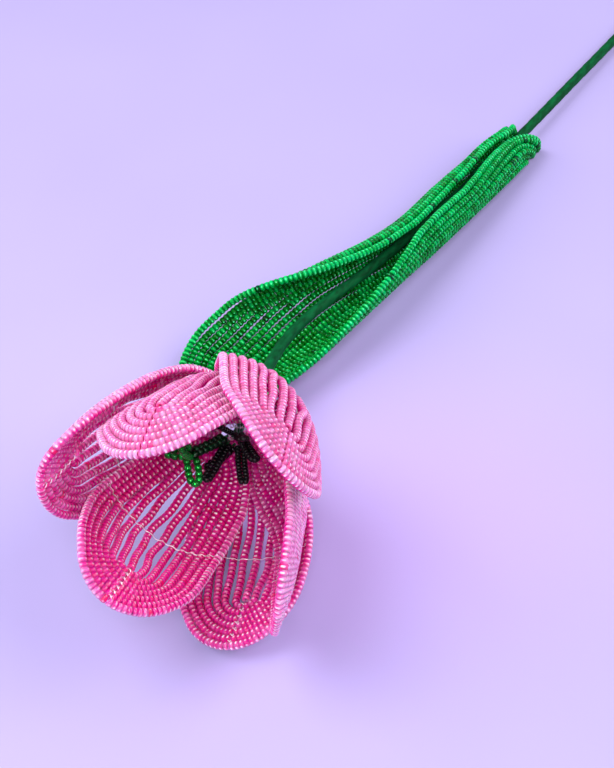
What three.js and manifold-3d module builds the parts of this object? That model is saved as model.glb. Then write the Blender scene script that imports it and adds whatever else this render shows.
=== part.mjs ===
// A tulip of French beading, lying on its side on a flat surface at z = 0.
//
// Glass seed beads are strung on fine wire. Each petal, and the one long leaf, is a basic row of
// beads with loops of beads wound round it, all in one sheet. Six petals, six black stamens and a
// pistil of three green loops are bound to a stem of thick wire wrapped in floral tape. The leaf
// is cupped round the stem and bound to it far behind the flower.
//
// Lengths are in millimetres and angles in degrees. The stem runs along +x, the mouth of the
// flower looks towards -x, and +z is up.

import * as THREE from 'three';
import { mergeVertices } from 'three/addons/utils/BufferGeometryUtils.js';
import Module from 'manifold-3d';

const wasm = await Module();
wasm.setup();

// Driving dimensions.

const flowerBase = new THREE.Vector3(-112.7, 0.7, 29.58); // where the petals meet the stem
const flowerYaw = 18;          // the mouth is turned this far sideways from -x
const flowerPitch = 8.3;       // and this far upwards

const beadRadius = 1.0;        // half the thickness of a sheet on a bead row
const grooveDepth = 0.5;       // how far the sheet dips between two rows, on each face
const rimRadius = 0.35;        // half the thickness of a sheet at its rim
const edgeMargin = 1.1;        // from the middle of the outermost row to the edge of a sheet

const petalLoops = 7;          // loops of beads round the basic row of a petal
const petalPitch = 2.2;        // from one row of a petal to the next
const petalBasicRow = 42.2;    // length of the basic row of a petal
const petalBaseStretch = 0.4;  // at the base the loops of a petal lie close together
const petalSwell = 3.6;        // how far the loops of a petal spread apart at its middle
const petalSwellRows = 2.6;    // the inner rows spread most: over so many rows it falls off
const petalSwellFrom = 3;      // they spread from here, beyond the first bead of the basic row,
const petalSwellPast = 8;      // to here, beyond the last one
const petalHalfWidth = 16.5;   // the curl of each half of a petal is given over this width

const leafLoops = 9;
const leafPitch = 1.8;
const leafBasicRow = 123.9;
const leafSwell = 4.5;
const leafTipStretch = 1.22;   // the tip of the leaf is a little pointed
const leafHalfWidth = 17.2;
const leafFarEnd = 177.1;      // from the flower's base to the far end of the leaf

const stemRadius = 1.6;        // outside of the tape
const tapeBore = 1.1;          // inside of the tape
const coreRadius = 0.8;        // the stem wire
const tapeFrom = 6.7;          // where the tape starts, along the stem from the flower's base
const stemLength = 290;

const bindingRadius = 2.7;     // tape over the wires that are bound to the stem
const bindingBore = 1.97;
const flowerTape = { from: 6, to: 17 };     // along the stem from the flower's base
const leafTape = { from: 142, to: 156 };
const shoulderLength = 1.6;    // the tape narrows over this length, up to the flower
const overlap = 0.4;           // how far two parts of one solid reach into each other
const neckRadius = 1.3;        // the bundle of wires between the petals
const neckFront = 5.2;         // how far the bundle reaches into the flower
const leafWireRadius = 0.45;   // the wires of the leaf between the leaf and the stem
const leafWires = [            // their way along the stem, and from its middle to the side and up
  { along: 155, side: 0, up: -2.4 },
  { along: 178, side: -0.6, up: -2.3 },
  { along: 179.5, side: 0, up: -4.6 },
];

const rowSpacing = 1.5;        // from one bead row of a stamen to the other
const stamenBead = 0.82;       // radius of a row
const pistilBead = 0.9;
const stalkRadius = 0.45;      // the wires under the beads of a stamen
const stalkCircle = 1.9;       // the stalks stand on a circle of this radius
const stalkFrom = 5.8;         // so far ahead of the flower's base
const stalkBend = 0.45;        // a stamen bends at this share of its length
const stalkArch = 0.08;        // and arches towards the mouth by this share
const tipSpacing = 0.3;        // the rows draw together at the tip, as shares of their spacing
const tipTaper = 0.6;          // and of their radius

// How finely the solids are faceted.
const petalFacets = { perSide: 14, crowding: 0.15 };  // stations on each side of a row
const leafFacets = { perSide: 19, crowding: 0.5 };    // crowded together where the rows turn
const stemFacets = { stations: 22, sides: 8 };
const sleeveFacets = { stations: 4, sides: 12 };
const neckSides = 10;
const leafWireSides = 8;
const loopFacets = { stations: 14, sides: 8 };

// Small helpers.

const radians = THREE.MathUtils.degToRad;

// A smooth curve through the points (stations[i], values[i]).
function smoothValue(at, stations, values) {
  const last = stations.length - 1;
  const slopeAt = (i) => {
    if (i === 0) return (values[1] - values[0]) / (stations[1] - stations[0]);
    if (i === last) return (values[last] - values[last - 1]) / (stations[last] - stations[last - 1]);
    const before = stations[i] - stations[i - 1];
    const after = stations[i + 1] - stations[i];
    const riseBefore = (values[i] - values[i - 1]) / before;
    const riseAfter = (values[i + 1] - values[i]) / after;
    return (riseBefore * after + riseAfter * before) / (before + after);
  };
  let i = 0;
  while (i < last - 1 && at > stations[i + 1]) i += 1;
  const width = stations[i + 1] - stations[i];
  const t = (at - stations[i]) / width;
  const t2 = t * t;
  const t3 = t2 * t;
  return (2 * t3 - 3 * t2 + 1) * values[i]
    + (t3 - 2 * t2 + t) * width * slopeAt(i)
    + (3 * t2 - 2 * t3) * values[i + 1]
    + (t3 - t2) * width * slopeAt(i + 1);
}

// Builds a solid from points and triangles, and merges what belongs together.
function solidGeometry(positions, triangles) {
  const raw = new THREE.BufferGeometry();
  raw.setAttribute('position', new THREE.Float32BufferAttribute(positions, 3));
  raw.setIndex(triangles);
  return mergeVertices(raw, 1e-5);
}

function toManifold(geometry) {
  const clean = geometry.clone();
  clean.deleteAttribute('normal');
  clean.deleteAttribute('uv');
  const merged = mergeVertices(clean, 1e-4);
  return new wasm.Manifold(new wasm.Mesh({
    numProp: 3,
    vertProperties: new Float32Array(merged.attributes.position.array),
    triVerts: new Uint32Array(merged.index.array),
  }));
}

function fuse(geometries) {
  let body = toManifold(geometries[0]);
  for (const geometry of geometries.slice(1)) body = body.add(toManifold(geometry));
  const mesh = body.getMesh();
  return solidGeometry(Array.from(mesh.vertProperties), Array.from(mesh.triVerts));
}

// The flat pattern of a beaded sheet.

// Row 0 is the basic row. Row k is the k-th loop round it: `turn` is -1 and 1 at the base end of
// the sheet and 0 at its tip, running up the left side and down the right one.
// Both ends of a loop are half circles. At the base the loops may lie closer together than at the
// sides, by `baseStretch`, so an inner loop has a longer straight side than an outer one.
// Returns the distance along the sheet from its base, and the distance across from its middle.
function rowPoint(sheet, row, turn) {
  const radius = Math.max(sheet.pitch * row, 1e-9);
  const quarter = (Math.PI / 2) * radius;
  const straight = sheet.basicRow - radius * (1 - sheet.baseStretch);
  const walked = Math.abs(turn) * (2 * quarter + straight);
  let along;
  let across;
  if (walked < quarter) {
    const angle = walked / radius;
    along = sheet.tipStart + radius * sheet.tipStretch * Math.cos(angle);
    across = radius * Math.sin(angle);
  } else if (walked < quarter + straight) {
    along = sheet.tipStart - (walked - quarter);
    across = radius;
  } else {
    const angle = Math.min((walked - quarter - straight) / radius, Math.PI / 2);
    along = sheet.tipStart - straight - radius * Math.sin(angle);
    across = radius * Math.cos(angle);
  }
  const spread = sheet.spreadOf(row) * sheet.swellAt(along);
  across += spread * (across / radius);
  return { along, across: across * Math.sign(turn) };
}

function makeSheet(loops, pitch, basicRow, baseStretch, tipStretch) {
  const firstBead = loops * pitch * baseStretch + edgeMargin;
  const tipStart = firstBead + basicRow;
  const length = tipStart + loops * pitch * tipStretch + edgeMargin;
  return { loops, pitch, basicRow, baseStretch, tipStretch, firstBead, tipStart, length };
}

// A solid sheet of bead rows.

// Half the thickness of the sheet at a row: thick on a row, thin between two rows and at the rim.
function halfThickness(sheet, row) {
  if (row > sheet.loops) return rimRadius;
  return Number.isInteger(row) ? beadRadius : beadRadius - grooveDepth;
}

// `place(along, across)` puts a point of the flat pattern in space. The sheet is meshed in rings,
// two to each row, and both faces are split into triangles alike. `crowding` brings the stations
// of a ring closer together at both ends of the sheet, where the rows turn.
function beadedSheet(sheet, place, { perSide, crowding }) {
  const rings = 2 * sheet.loops + 2;
  const stations = 2 * perSide;
  const positions = [];
  const triangles = [];

  for (const face of [1, -1]) {
    for (let ring = 0; ring < rings; ring += 1) {
      const row = ring / 2;
      for (let station = 0; station < stations; station += 1) {
        const even = -1 + (2 * station) / stations;
        const turn = even - (crowding * Math.sin(2 * Math.PI * even)) / (2 * Math.PI);
        const { along, across } = rowPoint(sheet, row, turn);
        const point = place(along, across);
        const side = surfaceNormal(place, along, across);
        point.addScaledVector(side, face * halfThickness(sheet, row));
        positions.push(point.x, point.y, point.z);
      }
    }
  }

  const vertex = (face, ring, station) => (face * rings + ring) * stations + (station % stations);
  for (let station = 0; station < stations; station += 1) {
    for (let ring = 0; ring < rings - 1; ring += 1) {
      const [a, b] = [vertex(0, ring, station), vertex(0, ring, station + 1)];
      const [c, d] = [vertex(0, ring + 1, station), vertex(0, ring + 1, station + 1)];
      const under = rings * stations;
      triangles.push(a, b, d, a, d, c);
      triangles.push(a + under, d + under, b + under, a + under, c + under, d + under);
    }
    const [top, topNext] = [vertex(0, rings - 1, station), vertex(0, rings - 1, station + 1)];
    const [low, lowNext] = [vertex(1, rings - 1, station), vertex(1, rings - 1, station + 1)];
    triangles.push(top, topNext, lowNext, top, lowNext, low);
  }
  return outwards(withoutSlivers(solidGeometry(positions, triangles)));
}

function surfaceNormal(place, along, across) {
  const step = 0.05;
  const lengthwise = place(along + step, across).sub(place(along - step, across));
  const crosswise = place(along, across + step).sub(place(along, across - step));
  return lengthwise.cross(crosswise).normalize();
}

// The basic row is a slit: its two sides meet, which leaves a few triangles without area.
function withoutSlivers(geometry) {
  const index = geometry.index.array;
  const kept = [];
  for (let i = 0; i < index.length; i += 3) {
    const [a, b, c] = [index[i], index[i + 1], index[i + 2]];
    if (a !== b && b !== c && c !== a) kept.push(a, b, c);
  }
  geometry.setIndex(kept);
  return geometry;
}

// Turns a closed geometry the right way out.
function outwards(geometry) {
  const point = geometry.attributes.position;
  const index = geometry.index.array;
  const [a, b, c] = [new THREE.Vector3(), new THREE.Vector3(), new THREE.Vector3()];
  let volume = 0;
  for (let i = 0; i < index.length; i += 3) {
    a.fromBufferAttribute(point, index[i]);
    b.fromBufferAttribute(point, index[i + 1]);
    c.fromBufferAttribute(point, index[i + 2]);
    volume += a.dot(b.cross(c));
  }
  if (volume < 0) geometry.setIndex(Array.from(index).reverse());
  return geometry;
}

// The flower's own axes.

const forwards = new THREE.Vector3(
  -Math.cos(radians(flowerPitch)) * Math.cos(radians(flowerYaw)),
  -Math.cos(radians(flowerPitch)) * Math.sin(radians(flowerYaw)),
  Math.sin(radians(flowerPitch)),
);
const upwards = new THREE.Vector3(0, 0, 1).addScaledVector(forwards, -forwards.z).normalize();
const sidewards = new THREE.Vector3().crossVectors(upwards, forwards);

// A point of the flower: `out` from its axis in the direction `turn`, and `ahead` towards its mouth.
function flowerPoint(turn, out, ahead) {
  return flowerBase.clone()
    .addScaledVector(upwards, out * Math.cos(radians(turn)))
    .addScaledVector(sidewards, out * Math.sin(radians(turn)))
    .addScaledVector(forwards, ahead);
}

// Petals.

// turn: where the petal stands round the axis, 0 on top and 90 on the side away from the leaf
// out, ahead: where its base is
// roll, lean: how its middle line is turned about itself, and how far it bends sideways
// slopes: how far the petal slopes away from the axis, from its base to its tip
// curlLeft, curlRight: how far each half turns up from its middle row to its rim, base to tip
const petals = {
  petal_inner_1: {
    turn: -15, out: 3.1, ahead: 2.9, roll: -7, lean: -1,
    slopes: [87, 68, 24, 23, -4, -10], curlLeft: [74, 53, 31, 14], curlRight: [58, 44, 27, 24],
  },
  petal_inner_2: {
    turn: 108, out: 3.4, ahead: 3.8, roll: -14, lean: 15,
    slopes: [66, 54, 10, 5, -3, -2], curlLeft: [58, 28, 19, 10], curlRight: [66, 36, 17, 9],
  },
  petal_inner_3: {
    turn: 221, out: 2.5, ahead: 4.6, roll: -3, lean: -14,
    slopes: [57, 35, 16, -20, -15, -12], curlLeft: [78, 45, 25, 34], curlRight: [64, 59, 47, 32],
  },
  petal_outer_1: {
    turn: 33, out: 3.1, ahead: 0.6, roll: 14, lean: -1,
    slopes: [92, 69, 38, 13, 14, 8], curlLeft: [43, 42, 33, 17], curlRight: [68, 42, 30, 7],
  },
  petal_outer_2: {
    turn: 163, out: 3.1, ahead: -1.6, roll: -4, lean: 1,
    slopes: [90, 71, 33, 8, -1, -2], curlLeft: [58, 49, 41, 32], curlRight: [64, 44, 31, 22],
  },
  petal_outer_3: {
    turn: 285, out: 3.1, ahead: -1.2, roll: -18, lean: -8,
    slopes: [91, 58, 30, 17, 9, 14], curlLeft: [53, 53, 53, 52], curlRight: [66, 45, 31, 26],
  },
};

const petalSheet = makeSheet(petalLoops, petalPitch, petalBasicRow, petalBaseStretch, 1);
petalSheet.spreadOf = (row) => petalSwell * (1 - Math.exp(-row / petalSwellRows));
petalSheet.swellAt = (along) => {
  const from = petalSheet.firstBead + petalSwellFrom;
  const to = petalSheet.tipStart + petalSwellPast;
  const share = THREE.MathUtils.clamp((along - from) / (to - from), 0, 1);
  return Math.sin(Math.PI * share);
};

const slopeStations = [0, 0.2, 0.42, 0.65, 0.85, 1];
const curlStations = [0, 0.35, 0.7, 1];

// Follows the middle line of a petal from its base and gives its place at `along`.
function petalSpine(petal, along) {
  const steps = 66;
  const step = petalSheet.length / steps;
  const slope = (at) => radians(smoothValue(
    THREE.MathUtils.clamp(at / petalSheet.length, -0.02, 1.02), slopeStations, petal.slopes,
  ));
  const whole = Math.floor(Math.max(along, 0) / step);
  let out = petal.out;
  let ahead = petal.ahead;
  for (let i = 0; i < whole; i += 1) {
    out += step * (Math.sin(slope(i * step)) + Math.sin(slope((i + 1) * step))) / 2;
    ahead += step * (Math.cos(slope(i * step)) + Math.cos(slope((i + 1) * step))) / 2;
  }
  const rest = along - whole * step;
  out += rest * Math.sin(slope(along));
  ahead += rest * Math.cos(slope(along));
  return { out, ahead, slope: slope(along) };
}

function placeOnPetal(petal) {
  return (along, across) => {
    const spine = petalSpine(petal, along);
    const share = THREE.MathUtils.clamp(along / petalSheet.length, -0.02, 1.02);
    const curl = across < 0 ? petal.curlLeft : petal.curlRight;
    const bend = radians(smoothValue(share, curlStations, curl)) / petalHalfWidth;
    const roll = radians(petal.roll);
    const curled = curlPoint(bend, across, roll);
    const sway = Math.tan(radians(petal.lean)) * share * along * 0.5;
    const outNormal = Math.cos(spine.slope) * curled.up;
    const aheadNormal = -Math.sin(spine.slope) * curled.up;
    const radial = flowerPoint(petal.turn, 1, 0).sub(flowerBase);
    const tangential = new THREE.Vector3().crossVectors(forwards, radial);
    return flowerBase.clone()
      .addScaledVector(radial, spine.out + outNormal)
      .addScaledVector(forwards, spine.ahead + aheadNormal)
      .addScaledVector(tangential, curled.side + sway);
  };
}

// A flat strip curled with a constant bend per millimetre, towards the axis, and then rolled.
function curlPoint(bend, across, roll) {
  const angle = bend * Math.abs(across);
  const flat = Math.abs(bend) < 1e-4;
  const side = flat ? across : (Math.sin(angle) / bend) * Math.sign(across);
  const up = flat ? 0 : -(1 - Math.cos(angle)) / bend;
  return {
    side: side * Math.cos(roll) - up * Math.sin(roll),
    up: side * Math.sin(roll) + up * Math.cos(roll),
  };
}

// Stem.

const stemStations = [0, 40, 90, 150, 220, 290];
const stemSideways = [0, 12.1, 10.2, 5.0, 2.2, 0];
const stemHeights = [29.7, 19.1, 11.2, 7.3, 4.4, 1.6];

// The middle of the stem at a distance `along` in +x from the flower's base.
function stemPoint(along) {
  return new THREE.Vector3(
    flowerBase.x + along,
    flowerBase.y + smoothValue(along, stemStations, stemSideways),
    flowerBase.z - stemHeights[0] + smoothValue(along, stemStations, stemHeights),
  );
}

// A round bar, or a tube when `bore` is given, that follows the stem.
function alongStem(from, to, radius, bore, { stations, sides }) {
  const positions = [];
  const triangles = [];
  const rings = bore ? [radius, bore] : [radius];
  for (let station = 0; station <= stations; station += 1) {
    const along = from + ((to - from) * station) / stations;
    const middle = stemPoint(along);
    const direction = stemPoint(along + 0.5).sub(stemPoint(along - 0.5)).normalize();
    const side = new THREE.Vector3(0, 0, 1).cross(direction).normalize();
    const up = direction.clone().cross(side);
    for (const ringRadius of rings) {
      for (let i = 0; i < sides; i += 1) {
        const angle = (2 * Math.PI * (i + 0.5)) / sides;
        const point = middle.clone()
          .addScaledVector(side, ringRadius * Math.cos(angle))
          .addScaledVector(up, ringRadius * Math.sin(angle));
        positions.push(point.x, point.y, point.z);
      }
    }
  }
  const vertex = (station, ring, i) => (station * rings.length + ring) * sides + (i % sides);
  for (let station = 0; station < stations; station += 1) {
    for (let i = 0; i < sides; i += 1) {
      const [a, b] = [vertex(station, 0, i), vertex(station, 0, i + 1)];
      const [c, d] = [vertex(station + 1, 0, i), vertex(station + 1, 0, i + 1)];
      triangles.push(a, b, d, a, d, c);
      if (bore) {
        const [e, f] = [vertex(station, 1, i), vertex(station, 1, i + 1)];
        const [g, h] = [vertex(station + 1, 1, i), vertex(station + 1, 1, i + 1)];
        triangles.push(e, h, f, e, g, h);
      }
    }
  }
  for (const station of [0, stations]) {
    const near = station === 0;
    for (let i = 0; i < sides; i += 1) {
      const [a, b] = [vertex(station, 0, i), vertex(station, 0, i + 1)];
      if (bore) {
        const [e, f] = [vertex(station, 1, i), vertex(station, 1, i + 1)];
        if (near) triangles.push(a, f, b, a, e, f);
        else triangles.push(a, b, f, a, f, e);
      } else if (i > 0 && i < sides - 1) {
        const first = vertex(station, 0, 0);
        if (near) triangles.push(first, b, a);
        else triangles.push(first, a, b);
      }
    }
  }
  return outwards(solidGeometry(positions, triangles));
}

// Leaf.

// Stations from the far end of the leaf to its tip by the flower: below and beside the stem,
// how far each half turns up round the stem, and how its middle line is rolled.
const leafStations = [0, 0.12, 0.3, 0.48, 0.66, 0.84, 1];
const leafShape = {
  below: [4.8, 5.6, 5.1, 4.1, 6.3, 17.4, 23.5],
  beside: [-0.8, -2.2, -1.5, -2.6, 3.4, 10.6, 22.2],
  curlLeft: [174, 142, 152, 159, 118, 57, 48],
  curlRight: [224, 179, 128, 120, 88, 51, 57],
  roll: [-18, 0, 0, 0, -22, 0, 7],
};

const leafSheet = makeSheet(leafLoops, leafPitch, leafBasicRow, 1, leafTipStretch);
leafSheet.spreadOf = (row) => (leafSwell * row) / leafLoops;
leafSheet.swellAt = (along) => smoothValue(
  THREE.MathUtils.clamp(along / leafSheet.length, 0, 1),
  [0, 0.15, 0.5, 0.8, 1],
  [0, 0.5, 0.8, 1, 0],
);

function leafSpine(along) {
  const share = along / leafSheet.length;
  const point = stemPoint(leafFarEnd - along);
  point.y += smoothValue(share, leafStations, leafShape.beside);
  point.z -= smoothValue(share, leafStations, leafShape.below);
  return point;
}

function placeOnLeaf(along, across) {
  const share = along / leafSheet.length;
  const middle = leafSpine(along);
  const direction = leafSpine(along + 0.5).sub(leafSpine(along - 0.5)).normalize();
  const side = new THREE.Vector3(0, 0, 1).cross(direction).normalize();
  const up = direction.clone().cross(side);
  const curl = across < 0 ? leafShape.curlLeft : leafShape.curlRight;
  const bend = radians(smoothValue(share, leafStations, curl)) / leafHalfWidth;
  const roll = radians(smoothValue(share, leafStations, leafShape.roll));
  const angle = bend * Math.abs(across);
  const sideways = (Math.sin(angle) / bend) * Math.sign(across);
  const raised = (1 - Math.cos(angle)) / bend;
  return middle
    .addScaledVector(side, sideways * Math.cos(roll) - raised * Math.sin(roll))
    .addScaledVector(up, sideways * Math.sin(roll) + raised * Math.cos(roll));
}

// Stamens and pistil.

// Where each tip is, in the flower's own axes, and the slot that its stalk takes on the circle.
const stamens = {
  stamen_1: { slot: 231, turn: 253, out: 2.8, ahead: 21 },
  stamen_2: { slot: 129, turn: 100, out: 6.1, ahead: 19 },
  stamen_3: { slot: 77, turn: 72, out: 7.9, ahead: 14.5 },
  stamen_4: { slot: 26, turn: 30, out: 9, ahead: 14 },
  stamen_5: { slot: 334, turn: 340, out: 12, ahead: 13 },
  stamen_6: { slot: 180, turn: 225, out: 6.6, ahead: 13.2 },
};

const pistilSlot = 283;
const pistilFork = { turn: 287, out: 8.4, ahead: 17 };
const pistilLoops = [
  { turn: 282, out: 13.7, ahead: 18.8, facing: 340 },
  { turn: 265, out: 4.7, ahead: 24, facing: 10 },
  { turn: 320, out: 13, ahead: 23, facing: 60 },
];
const loopWidth = 2.6;         // between the two sides of a pistil loop, from row to row

// The outline of two rows side by side, each `radius` thick and `offset` from the middle.
function twoRowOutline(offset, radius, sides) {
  const outline = [];
  for (let i = 0; i < sides; i += 1) {
    const angle = (2 * Math.PI * i) / sides;
    const reach = offset * Math.abs(Math.cos(angle))
      + Math.sqrt(radius * radius - (offset * Math.sin(angle)) ** 2);
    outline.push([reach * Math.cos(angle), reach * Math.sin(angle)]);
  }
  return outline;
}

// Sweeps outlines along points. `across` is the direction in which the rows lie side by side.
function sweep(points, outlines, across, closed) {
  const sides = outlines[0].length;
  const count = points.length;
  const positions = [];
  const triangles = [];
  points.forEach((point, i) => {
    const before = points[closed ? (i + count - 1) % count : Math.max(i - 1, 0)];
    const after = points[closed ? (i + 1) % count : Math.min(i + 1, count - 1)];
    const direction = after.clone().sub(before).normalize();
    const up = direction.clone().cross(across).normalize();
    const side = up.clone().cross(direction);
    for (const [x, y] of outlines[i]) {
      const corner = point.clone().addScaledVector(side, x).addScaledVector(up, y);
      positions.push(corner.x, corner.y, corner.z);
    }
  });
  const spans = closed ? count : count - 1;
  for (let i = 0; i < spans; i += 1) {
    for (let j = 0; j < sides; j += 1) {
      const [a, b] = [i * sides + j, i * sides + ((j + 1) % sides)];
      const next = ((i + 1) % count) * sides;
      const [c, d] = [next + j, next + ((j + 1) % sides)];
      triangles.push(a, b, d, a, d, c);
    }
  }
  if (!closed) {
    const last = (count - 1) * sides;
    for (let j = 1; j < sides - 1; j += 1) {
      triangles.push(0, j + 1, j);
      triangles.push(last, last + j, last + j + 1);
    }
  }
  return outwards(solidGeometry(positions, triangles));
}

function pointsBetween(start, bend, end, count) {
  return new THREE.QuadraticBezierCurve3(start, bend, end).getPoints(count - 1);
}

// The stalk is a bare bundle of wires that widens into the two rows of beads.
const barSides = 12;
const barShares = [0, 0.22, 0.27, 0.4, 0.55, 0.7, 0.85, 0.95, 1];

function twoRowBar(start, end, across, bead, stalk) {
  const bend = start.clone().lerp(end, stalkBend);
  bend.addScaledVector(forwards, start.distanceTo(end) * stalkArch);
  const curve = new THREE.QuadraticBezierCurve3(start, bend, end);
  const points = barShares.map((share) => curve.getPoint(share));
  const outlines = barShares.map((share, i) => {
    if (i < 2) return twoRowOutline(0, stalk, barSides);
    if (i === barShares.length - 1) {
      return twoRowOutline(rowSpacing * tipSpacing, bead * tipTaper, barSides);
    }
    return twoRowOutline(rowSpacing / 2, bead, barSides);
  });
  return sweep(points, outlines, across, false);
}

function stamenGeometry({ slot, turn, out, ahead }) {
  const start = flowerPoint(slot, stalkCircle, stalkFrom);
  const end = flowerPoint(turn, out, ahead);
  const across = new THREE.Vector3().crossVectors(end.clone().sub(start), upwards).normalize();
  return twoRowBar(start, end, across, stamenBead, stalkRadius);
}

// One loop of beads: it leaves the fork, runs out to its tip and comes back.
function loopGeometry(fork, { turn, out, ahead, facing }) {
  const { stations, sides } = loopFacets;
  const tip = flowerPoint(turn, out, ahead);
  const reach = tip.clone().sub(fork);
  const face = flowerPoint(facing, 1, 0).sub(flowerBase);
  const wide = new THREE.Vector3().crossVectors(reach, face).normalize();
  const points = [];
  for (let i = 0; i < stations; i += 1) {
    const angle = (2 * Math.PI * i) / stations;
    const swing = Math.sign(Math.sin(angle)) * Math.sqrt(Math.abs(Math.sin(angle)));
    points.push(fork.clone()
      .addScaledVector(reach, (1 - Math.cos(angle)) / 2)
      .addScaledVector(wide, (swing * loopWidth) / 2));
  }
  const normal = new THREE.Vector3().crossVectors(reach, wide).normalize();
  const outlines = points.map(() => twoRowOutline(0, pistilBead, sides));
  return sweep(points, outlines, normal, true);
}

function pistilGeometry() {
  const start = flowerPoint(pistilSlot, stalkCircle, stalkFrom);
  const fork = flowerPoint(pistilFork.turn, pistilFork.out, pistilFork.ahead);
  const across = new THREE.Vector3().crossVectors(fork.clone().sub(start), upwards).normalize();
  const stalk = twoRowBar(start, fork, across, pistilBead, stalkRadius);
  return fuse([stalk, ...pistilLoops.map((loop) => loopGeometry(fork, loop))]);
}

// Bindings.

// A bundle of wires passes between the petals and is bound over the top of the stem.
function flowerBindingGeometry() {
  const { from, to } = flowerTape;
  const { sides } = sleeveFacets;
  const shoulderFrom = from - shoulderLength;
  const sleeve = alongStem(from, to, bindingRadius, bindingBore, sleeveFacets);
  const shoulder = alongStem(shoulderFrom, from + overlap, bindingRadius, 0, { stations: 1, sides });
  const front = flowerPoint(0, 0, neckFront);
  const neckPoints = [front, flowerPoint(0, 0, 0), stemPoint(shoulderFrom + 1)];
  const neckOutlines = neckPoints.map(() => twoRowOutline(0, neckRadius, neckSides));
  const neck = sweep(neckPoints, neckOutlines, upwards, false);
  return fuse([sleeve, shoulder, neck]);
}

// Tape round the stem inside the far end of the leaf, with the wires of the leaf under it.
function leafBindingGeometry() {
  const sleeve = alongStem(leafTape.from, leafTape.to, bindingRadius, bindingBore, sleeveFacets);
  const wires = leafWires.map(({ along, side, up }) => stemPoint(along).add(new THREE.Vector3(0, side, up)));
  const outlines = wires.map(() => twoRowOutline(0, leafWireRadius, leafWireSides));
  return fuse([sleeve, sweep(wires, outlines, new THREE.Vector3(0, 1, 0), false)]);
}

// The object.

const pink = { color: 0xe8709c, roughness: 0.25, metalness: 0 };
const green = { color: 0x0a8a3c, roughness: 0.25, metalness: 0 };
const black = { color: 0x101214, roughness: 0.2, metalness: 0 };
const greenGlass = { color: 0x2a6a40, roughness: 0.15, metalness: 0 };
const tape = { color: 0x0a5a34, roughness: 0.85, metalness: 0 };
const wire = { color: 0xb8bcc0, roughness: 0.35, metalness: 1 };

const tulip = new THREE.Group();
tulip.name = 'beaded_tulip';

function addPart(name, geometry, finish) {
  geometry.computeVertexNormals();
  const mesh = new THREE.Mesh(geometry, new THREE.MeshStandardMaterial(finish));
  mesh.name = name;
  tulip.add(mesh);
}

for (const [name, petal] of Object.entries(petals)) {
  addPart(name, beadedSheet(petalSheet, placeOnPetal(petal), petalFacets), pink);
}
addPart('leaf', beadedSheet(leafSheet, placeOnLeaf, leafFacets), green);
for (const [name, stamen] of Object.entries(stamens)) {
  addPart(name, stamenGeometry(stamen), black);
}
addPart('pistil', pistilGeometry(), greenGlass);
addPart('flower_binding', flowerBindingGeometry(), tape);
addPart('leaf_binding', leafBindingGeometry(), tape);
addPart('stem_wrap', alongStem(tapeFrom, stemLength, stemRadius, tapeBore, stemFacets), tape);
addPart('stem_core', alongStem(tapeFrom, stemLength, coreRadius, 0, stemFacets), wire);

export default tulip;
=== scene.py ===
import math
import bpy
import numpy as np
from mathutils import Matrix, Vector


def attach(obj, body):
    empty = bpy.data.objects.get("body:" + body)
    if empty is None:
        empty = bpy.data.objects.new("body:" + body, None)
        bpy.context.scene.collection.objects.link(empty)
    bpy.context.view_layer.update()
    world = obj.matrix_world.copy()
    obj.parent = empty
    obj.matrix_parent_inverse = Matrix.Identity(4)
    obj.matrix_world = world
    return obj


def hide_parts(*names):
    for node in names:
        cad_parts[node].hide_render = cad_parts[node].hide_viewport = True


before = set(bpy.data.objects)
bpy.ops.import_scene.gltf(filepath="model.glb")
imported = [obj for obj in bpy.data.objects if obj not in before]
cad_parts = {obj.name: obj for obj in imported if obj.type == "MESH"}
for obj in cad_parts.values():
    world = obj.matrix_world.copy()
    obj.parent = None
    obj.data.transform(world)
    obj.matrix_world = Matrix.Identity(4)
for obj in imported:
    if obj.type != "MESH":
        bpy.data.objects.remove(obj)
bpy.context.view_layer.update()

# A tulip of French beading that lies on its side: the stem runs along +x, the mouth looks towards -x.
# A petal, or the leaf, is a basic row of glass beads with loops of beads wound round it in one sheet.
# Lengths in the dictionaries are in mm and angles in degrees; the scene is in metres.

mm = 0.001


def unit(vectors):
    return vectors / np.linalg.norm(vectors, axis=-1, keepdims=True)


def alongLine(at, stations, points):
    # a line has its own points at the stations and is straight between them; returns its points at at
    return np.stack([np.interp(at, stations, points[:, i]) for i in range(3)], axis=1)


def smoothValue(at, stations, values):
    # a smooth curve through the given values, for one number or an array
    xs = np.asarray(stations, float)
    ys = np.asarray(values, float)
    slopes = np.gradient(ys, xs)
    at = np.asarray(at, float)
    i = np.clip(np.searchsorted(xs, at, side="right") - 1, 0, len(xs) - 2)
    width = xs[i + 1] - xs[i]
    t = (at - xs[i]) / width
    rise = (2 * t**3 - 3 * t**2 + 1) * ys[i] + (3 * t**2 - 2 * t**3) * ys[i + 1]
    return rise + width * ((t**3 - 2 * t**2 + t) * slopes[i] + (t**3 - t**2) * slopes[i + 1])


# the flower's own axes

flower = {
    "base": (-112.7, 0.7, 29.58),  # where the petals meet the stem
    "yaw": 18.0,                   # the mouth is turned this far sideways from -x
    "pitch": 8.3,                  # and upwards
}

flowerBase = np.array(flower["base"])
yaw = math.radians(flower["yaw"])
pitch = math.radians(flower["pitch"])
forwards = np.array([-math.cos(pitch) * math.cos(yaw), -math.cos(pitch) * math.sin(yaw), math.sin(pitch)])
upwards = unit(np.array([0.0, 0.0, 1.0]) - forwards * forwards[2])
sidewards = np.cross(upwards, forwards)


def radialAt(turn):
    return math.cos(math.radians(turn)) * upwards + math.sin(math.radians(turn)) * sidewards


def flowerPoint(turn, out, ahead):
    return flowerBase + out * radialAt(turn) + ahead * forwards


# selecting, joining and keeping pieces

def deselectAll():
    for each in bpy.context.selected_objects:
        each.select_set(False)


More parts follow.
